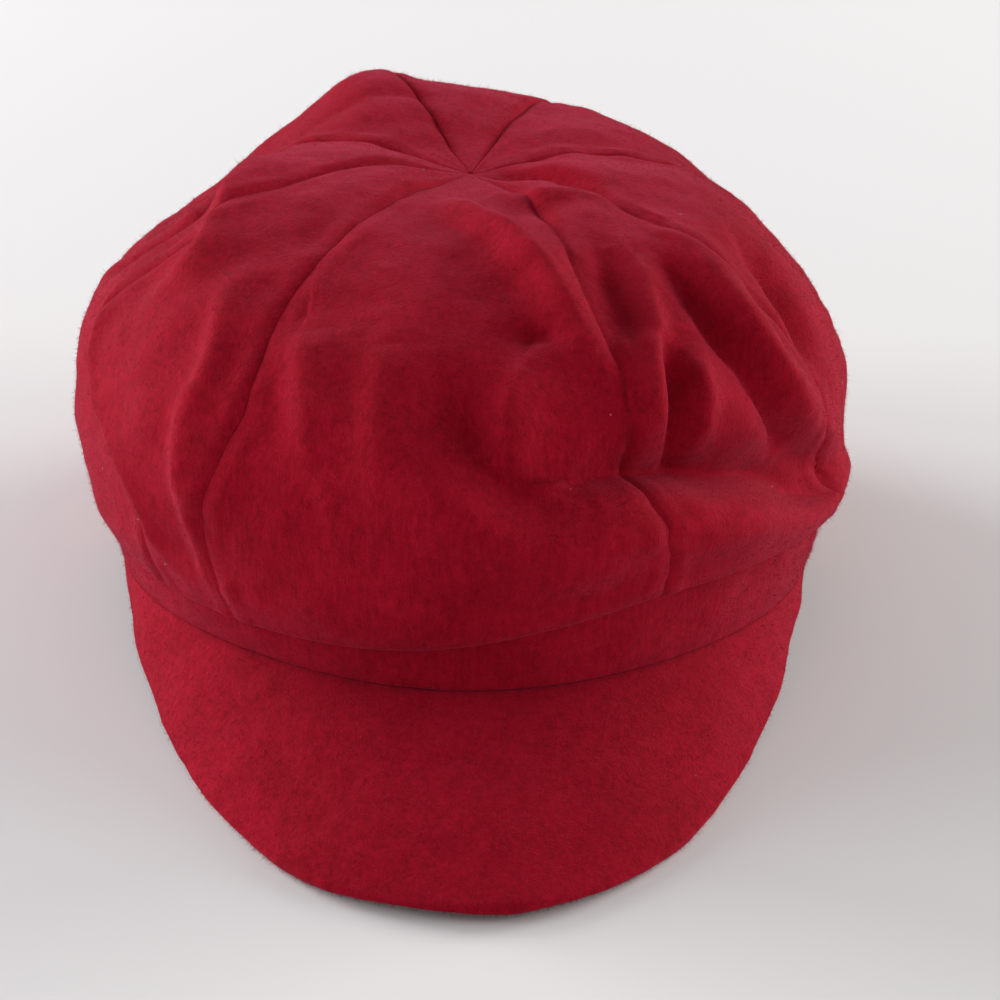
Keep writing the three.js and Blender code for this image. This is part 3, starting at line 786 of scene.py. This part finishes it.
def set_down(points, press=True):
    """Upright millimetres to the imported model's frame in metres, pressed flat where it rests."""
    x, y, z = np.moveaxis(np.asarray(points, float), -1, 0)
    lift = BAND_HALF_LENGTH * math.sin(REST_TILT) - REST_PRESS
    forward = y * math.cos(REST_TILT) + z * math.sin(REST_TILT)
    high = z * math.cos(REST_TILT) - y * math.sin(REST_TILT) + lift
    if press:
        high = np.maximum(high, 0)
    return np.stack([x, forward, high], -1) * MM + SHIFT


def new_piece(name, vertices, faces, material, replaces=None):
    """A piece of wool from an array of vertices and a list of faces."""
    mesh = bpy.data.meshes.new(name)
    mesh.from_pydata(vertices.tolist(), [], faces)
    mesh.update()
    mesh.shade_smooth()
    mesh.materials.append(material)
    piece = bpy.data.objects.new(name, mesh)
    bpy.context.scene.collection.objects.link(piece)
    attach(piece, "root")
    if replaces:
        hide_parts(replaces)


def grid_faces(rows, columns, first=0, flip=False):
    """Quads of a grid of vertices numbered row by row."""
    index = first + np.arange(rows * columns).reshape(rows, columns)
    a, b, c, d = index[:-1, :-1], index[:-1, 1:], index[1:, 1:], index[1:, :-1]
    quads = np.stack([a, b, c, d], -1).reshape(-1, 4)
    return quads[:, ::-1] if flip else quads


def rim_of(rows, columns, first=0):
    """The vertices round a grid's edge, in order."""
    index = first + np.arange(rows * columns).reshape(rows, columns)
    return np.concatenate([index[0, :-1], index[:-1, -1], index[-1, :0:-1], index[:0:-1, 0]])


def cloth_shell(outer, inner):
    """A closed wall between a fine grid and one with every third of its rows and columns."""
    vertices = np.concatenate([outer.reshape(-1, 3), inner.reshape(-1, 3)])
    count = outer.shape[0] * outer.shape[1]
    faces = grid_faces(*outer.shape[:2]).tolist()
    faces += grid_faces(*inner.shape[:2], count, True).tolist()
    fine = rim_of(*outer.shape[:2])
    coarse = rim_of(*inner.shape[:2], count)
    a, b, c = fine[::INNER_STEP], fine[1::INNER_STEP], fine[2::INNER_STEP]
    d, e, f = np.roll(a, -1), coarse, np.roll(coarse, -1)
    faces += np.stack([e, b, a], -1).tolist()
    faces += np.stack([e, f, c, b], -1).tolist()
    faces += np.stack([f, d, c], -1).tolist()
    return vertices, faces


def end_faces(index, column):
    """Quads that close the loop at one end of a body of loops."""
    rows = len(index) - 1
    ends = index[:, column]
    up = np.arange(rows // 2 - 1)
    down = rows - 1 - up
    return np.stack([ends[up], ends[up + 1], ends[down - 1], ends[down]], -1)


def ring_shell(loops, closed_columns):
    """A closed body from loops: rows join up, and columns join up or end in a filled loop."""
    rows, columns = loops.shape[:2]
    index = np.arange(rows * columns).reshape(rows, columns)
    index = np.vstack([index, index[:1]])
    if closed_columns:
        index = np.hstack([index, index[:, :1]])
    a, b, c, d = index[:-1, :-1], index[:-1, 1:], index[1:, 1:], index[1:, :-1]
    faces = [np.stack([a, b, c, d], -1).reshape(-1, 4)]
    if not closed_columns:
        faces.append(end_faces(index, 0))
        faces.append(end_faces(index, columns - 1)[:, ::-1])
    return loops.reshape(-1, 3), np.concatenate(faces)


def node(tree, kind, **settings):
    """A new node of a material with these settings."""
    made = tree.nodes.new(kind)
    for key, value in settings.items():
        setattr(made, key, value)
    return made


def new_material(name):
    """A material with nodes, its tree and its shader."""
    material = bpy.data.materials.new(name)
    material.use_nodes = True
    tree = material.node_tree
    return material, tree, tree.nodes["Principled BSDF"]


def noise(tree, source, scale, detail, roughness):
    """The output of a noise at the source's places."""
    made = node(tree, "ShaderNodeTexNoise")
    made.inputs["Scale"].default_value = scale
    made.inputs["Detail"].default_value = detail
    made.inputs["Roughness"].default_value = roughness
    tree.links.new(source, made.inputs["Vector"])
    return made.outputs["Fac"]


def blend(tree, a, b, share):
    """A mix of two values, with this share of the second."""
    made = node(tree, "ShaderNodeMix", data_type="FLOAT")
    made.inputs["Factor"].default_value = share
    tree.links.new(a, made.inputs["A"])
    tree.links.new(b, made.inputs["B"])
    return made.outputs["Result"]


def colours_by(tree, tone, stops, colours):
    """Colours that follow a tone through these stops."""
    ramp = node(tree, "ShaderNodeValToRGB")
    elements = ramp.color_ramp.elements
    elements[0].position, elements[-1].position = stops[0], stops[-1]
    elements[0].color, elements[-1].color = colours[0], colours[-1]
    for stop, colour in zip(stops[1:-1], colours[1:-1]):
        elements.new(stop).color = colour
    tree.links.new(tone, ramp.inputs["Fac"])
    return ramp.outputs["Color"]


def wool_material():
    """Felted wool: mottled crimson with a soft grain, a matt surface and a pinkish sheen."""
    material, tree, cloth = new_material("wool")
    cloth.inputs["Roughness"].default_value = WOOL_ROUGHNESS
    cloth.inputs["Specular IOR Level"].default_value = WOOL_SPECULAR
    cloth.inputs["Sheen Weight"].default_value = SHEEN_WEIGHT
    cloth.inputs["Sheen Roughness"].default_value = SHEEN_ROUGHNESS
    cloth.inputs["Sheen Tint"].default_value = SHEEN_TINT

    place = node(tree, "ShaderNodeTexCoord").outputs["Object"]
    stretch = node(tree, "ShaderNodeMapping")
    stretch.inputs["Scale"].default_value = GRAIN_STRETCH
    tree.links.new(place, stretch.inputs["Vector"])
    patches = noise(tree, place, *PATCHES)
    mottle = noise(tree, place, *MOTTLE)
    grain = noise(tree, stretch.outputs["Vector"], *GRAIN)
    fuzz = noise(tree, place, *FUZZ)

    coarse = blend(tree, patches, mottle, MOTTLE_IN_COLOUR)
    fine = blend(tree, grain, fuzz, FUZZ_IN_COLOUR)
    tone = blend(tree, coarse, fine, FINE_IN_COLOUR)
    colour = colours_by(tree, tone, WOOL_STOPS, (WOOL_DARK, WOOL_BASE, WOOL_LIGHT))
    tree.links.new(colour, cloth.inputs["Base Color"])

    relief = blend(tree, grain, mottle, MOTTLE_IN_RELIEF)
    raised = node(tree, "ShaderNodeBump")
    raised.inputs["Strength"].default_value = BUMP_STRENGTH
    raised.inputs["Distance"].default_value = BUMP_DEPTH * MM
    tree.links.new(blend(tree, relief, fuzz, FUZZ_IN_RELIEF), raised.inputs["Height"])
    tree.links.new(raised.outputs["Normal"], cloth.inputs["Normal"])
    return material


def fibre_material(name, colour):
    """Matt fibres of one colour, darker here and there."""
    material, tree, fibre = new_material(name)
    fibre.inputs["Roughness"].default_value = FIBRE_ROUGHNESS
    fibre.inputs["Specular IOR Level"].default_value = FIBRE_SPECULAR
    place = node(tree, "ShaderNodeTexCoord").outputs["Object"]
    tone = node(tree, "ShaderNodeTexNoise")
    tone.inputs["Scale"].default_value = FIBRE_NOISE
    tree.links.new(place, tone.inputs["Vector"])
    darker = (*[FIBRE_DARKER * channel for channel in colour], 1)
    shown = colours_by(tree, tone.outputs["Fac"], FIBRE_STOPS, (darker, (*colour, 1)))
    tree.links.new(shown, fibre.inputs["Base Color"])
    return material


def scatter(grids, count, rng):
    """Random places on the outer faces of grids, with the surface's normal there."""
    corners, normals = [], []
    for grid, outward in grids:
        a, b, c, d = grid[:-1, :-1], grid[:-1, 1:], grid[1:, 1:], grid[1:, :-1]
        corners.append(np.stack([a, b, c, d], -2).reshape(-1, 4, 3))
        normals.append(outward[:-1, :-1].reshape(-1, 3))
    corners, normals = np.concatenate(corners), np.concatenate(normals)
    a, b, c, d = np.moveaxis(corners, 1, 0)
    area = np.linalg.norm(np.cross(c - a, d - b), axis=1)
    chosen = rng.choice(len(area), count, p=area / area.sum())
    s, t = rng.random((2, count, 1))
    a, b, c, d = np.moveaxis(corners[chosen], 1, 0)
    return (a * (1 - s) + b * s) * (1 - t) + (d * (1 - s) + c * s) * t, normals[chosen]


def fibre_mesh(places, normals, lengths, thick, rng):
    """Thin three-sided spikes, closed at the foot, leaning every way and a little downward."""
    count = len(places)
    lean = FIBRE_LEAN * unit(rng.normal(size=(count, 3)))
    stand = normals * rng.uniform(*FIBRE_STANDS, (count, 1))
    along = unit(stand + lean + np.array([0, 0, -FIBRE_DROOP]))
    rise = (along * normals).sum(-1, keepdims=True)
    along = unit(along + normals * np.maximum(FIBRE_LEAST_RISE - rise, 0))
    side = unit(np.cross(along, unit(rng.normal(size=(count, 3)))))
    other = np.cross(along, side)
    foot = places - normals * FIBRE_ROOT
    angles = np.radians((0, 120, 240))
    corners = [foot + thick * (side * math.cos(a) + other * math.sin(a)) for a in angles]
    tip = foot + along * lengths[:, None]
    vertices = np.stack([*corners, tip], 1)
    first = vertices.shape[1] * np.arange(count)
    faces = first[:, None, None] + FIBRE_FACES
    return vertices.reshape(-1, 3), faces.reshape(-1, 3).tolist()


def nap(name, grids, count, material, rng):
    """One piece of the nap, over the given grids."""
    places, normals = scatter(grids, count, rng)
    lengths = NAP_LENGTH * rng.uniform(*NAP_SPREAD, count)
    long = rng.random(count) < NAP_LONG_SHARE
    lengths[long] = NAP_LONG * rng.uniform(*NAP_LONG_SPREAD, long.sum())
    vertices, faces = fibre_mesh(places, normals, lengths, NAP_THICK, rng)
    new_piece(name, set_down(vertices), faces, material)


def lint(grids, rng):
    """A few specks of lint."""
    material = fibre_material("lint", LINT_COLOUR)
    places, normals = scatter(grids, LINT_COUNT, rng)
    lengths = rng.uniform(*LINT_LENGTHS, LINT_COUNT)
    vertices, faces = fibre_mesh(places, normals, lengths, LINT_THICK, rng)
    new_piece("lint", set_down(vertices), faces, material)


def view_axes():
    """The view's right, up and backward directions in the upright cap's frame."""
    elevation, azimuth = math.radians(VIEW_ELEVATION), math.radians(VIEW_AZIMUTH)
    roll = math.radians(VIEW_ROLL)
    level = math.cos(elevation)
    back = np.array([math.sin(azimuth) * level, -math.cos(azimuth) * level, math.sin(elevation)])
    right = unit(np.cross(-back, [0.0, 0.0, 1.0]))
    up = np.cross(right, -back)
    turned = right * math.cos(roll) + up * math.sin(roll)
    upward = -right * math.sin(roll) + up * math.cos(roll)
    return turned, upward, back


def camera():
    """The photo's view: from in front, 18 degrees above the upright cap, 25 above the floor."""
    turned, upward, back = view_axes()
    place = np.array(VIEW_TARGET) + back * VIEW_DISTANCE
    ends = set_down(np.array([place, place + turned, place + upward, place + back]), press=False)
    axes = (ends[1:] - ends[0]) / MM
    matrix = Matrix(axes.T.tolist()).to_4x4()
    matrix.translation = Vector(ends[0])
    data = bpy.data.cameras.new("camera")
    data.sensor_width = SENSOR
    data.lens = FOCAL_PIXELS * SENSOR / PICTURE_PIXELS
    data.clip_start, data.clip_end = CLIP_NEAR, CLIP_FAR
    made = bpy.data.objects.new("camera", data)
    made.matrix_world = matrix
    bpy.context.scene.collection.objects.link(made)
    bpy.context.scene.camera = made


def area_light(name, place, size, power, colour):
    """A soft rectangular light that faces the cap."""
    data = bpy.data.lights.new(name, "AREA")
    data.shape = "RECTANGLE"
    data.size, data.size_y = size
    data.energy = power
    data.color = colour
    made = bpy.data.objects.new(name, data)
    made.location = place
    towards = Vector(CAP_MIDDLE) - Vector(place)
    made.rotation_euler = towards.to_track_quat("-Z", "Y").to_euler()
    bpy.context.scene.collection.objects.link(made)


def lights():
    """Soft light from both sides and from behind, and a weak one from the front."""
    for name, settings in LIGHTS.items():
        area_light(name, *settings)


def stage():
    """A plain pale floor."""
    mesh = bpy.data.meshes.new("floor")
    corners = [(x * FLOOR_HALF, y * FLOOR_HALF, 0) for x, y in ((-1, -1), (1, -1), (1, 1), (-1, 1))]
    mesh.from_pydata(corners, [], [(0, 1, 2, 3)])
    material, _, paint = new_material("pale_floor")
    paint.inputs["Base Color"].default_value = FLOOR_COLOUR
    paint.inputs["Roughness"].default_value = FLOOR_ROUGHNESS
    mesh.materials.append(material)
    floor = bpy.data.objects.new("floor", mesh)
    bpy.context.scene.collection.objects.link(floor)


def room():
    """The even light of the room."""
    world = bpy.data.worlds.new("studio")
    world.use_nodes = True
    background = world.node_tree.nodes["Background"]
    background.inputs["Color"].default_value = ROOM_COLOUR
    background.inputs["Strength"].default_value = ROOM_STRENGTH
    bpy.context.scene.world = world
    bpy.context.scene.view_settings.view_transform = "Standard"


def build():
    """The crown's panels, the band, the peak, and the fibres on them."""
    rng = np.random.default_rng(SEED)
    wool = wool_material()
    fuzz = fibre_material("wool_fibres", FIBRE_COLOUR)

    crown = Crown()
    for k, name in enumerate(PANELS):
        outer, inner = crown.panel(k)
        vertices, faces = cloth_shell(set_down(outer), set_down(inner))
        new_piece("wool_" + name, vertices, faces, wool, name)

    band = band_grid()
    vertices, faces = ring_shell(set_down(band), True)
    new_piece("wool_band", vertices, faces.tolist(), wool, "band")

    peak = peak_grid()
    vertices, faces = ring_shell(set_down(peak), False)
    new_piece("wool_peak", vertices, faces[:, ::-1].tolist(), wool, "peak")

    band_face = band[: BAND_STEPS + 2]
    peak_face = peak[: PEAK_ROWS + PEAK_TURN_STEPS]
    on_crown = (crown.outer, crown.normals)
    on_band = (band_face, grid_normals(band_face, True))
    on_peak = (peak_face, -grid_normals(peak_face, False))
    for name, count in NAP_PIECES.items():
        nap(name, [on_crown] if "crown" in name else [on_band, on_peak], count, fuzz, rng)
    lint([on_crown, on_peak], rng)


camera()
lights()
stage()
room()
build()
